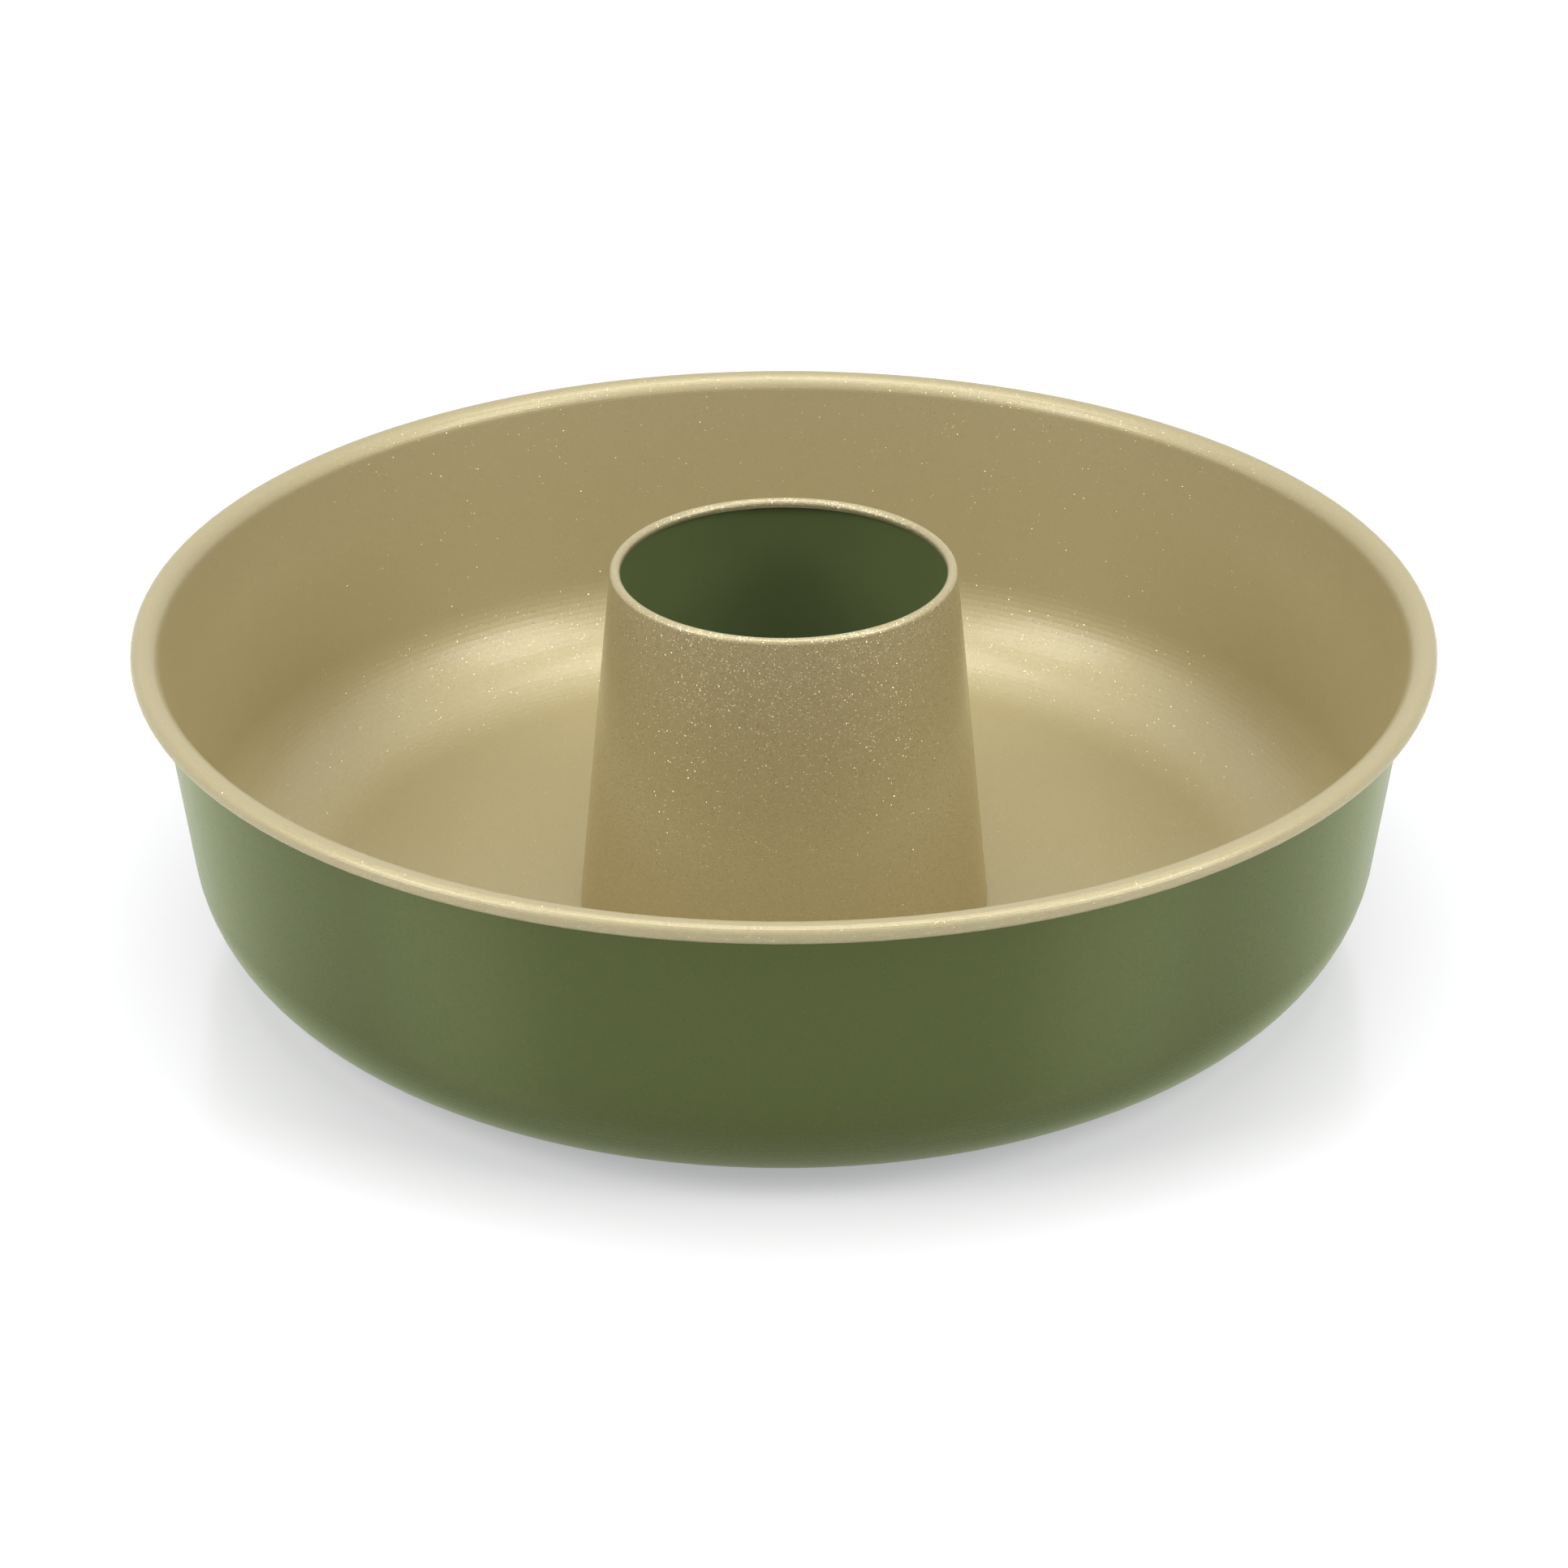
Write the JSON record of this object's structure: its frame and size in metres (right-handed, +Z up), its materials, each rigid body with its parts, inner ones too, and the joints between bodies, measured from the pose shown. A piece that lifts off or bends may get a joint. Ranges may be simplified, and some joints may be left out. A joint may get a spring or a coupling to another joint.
{
  "type": "savarin mould",
  "caption": "Round ring-shaped baking tin of coated steel with a rounded base, a rolled rim and a tapered open tube in its middle.",
  "frame": {"origin": "centre of the base, on the surface that the mould stands on", "axes": "+Z up along the axis of the tube and the rim; the mould is round, so +X and +Y are any two level directions"},
  "size_m": [0.26, 0.26, 0.0755],
  "materials": {
    "steel": "satin",
    "champagne_coat": "satin",
    "green_coat": "satin"
  },
  "bodies": {
    "root": {"pan_sheet": "steel", "pan_baking_coat": "champagne_coat", "pan_outer_coat": "green_coat", "tube_sheet": "steel", "tube_baking_coat": "champagne_coat", "tube_inner_coat": "green_coat"}
  },
  "joints": []
}
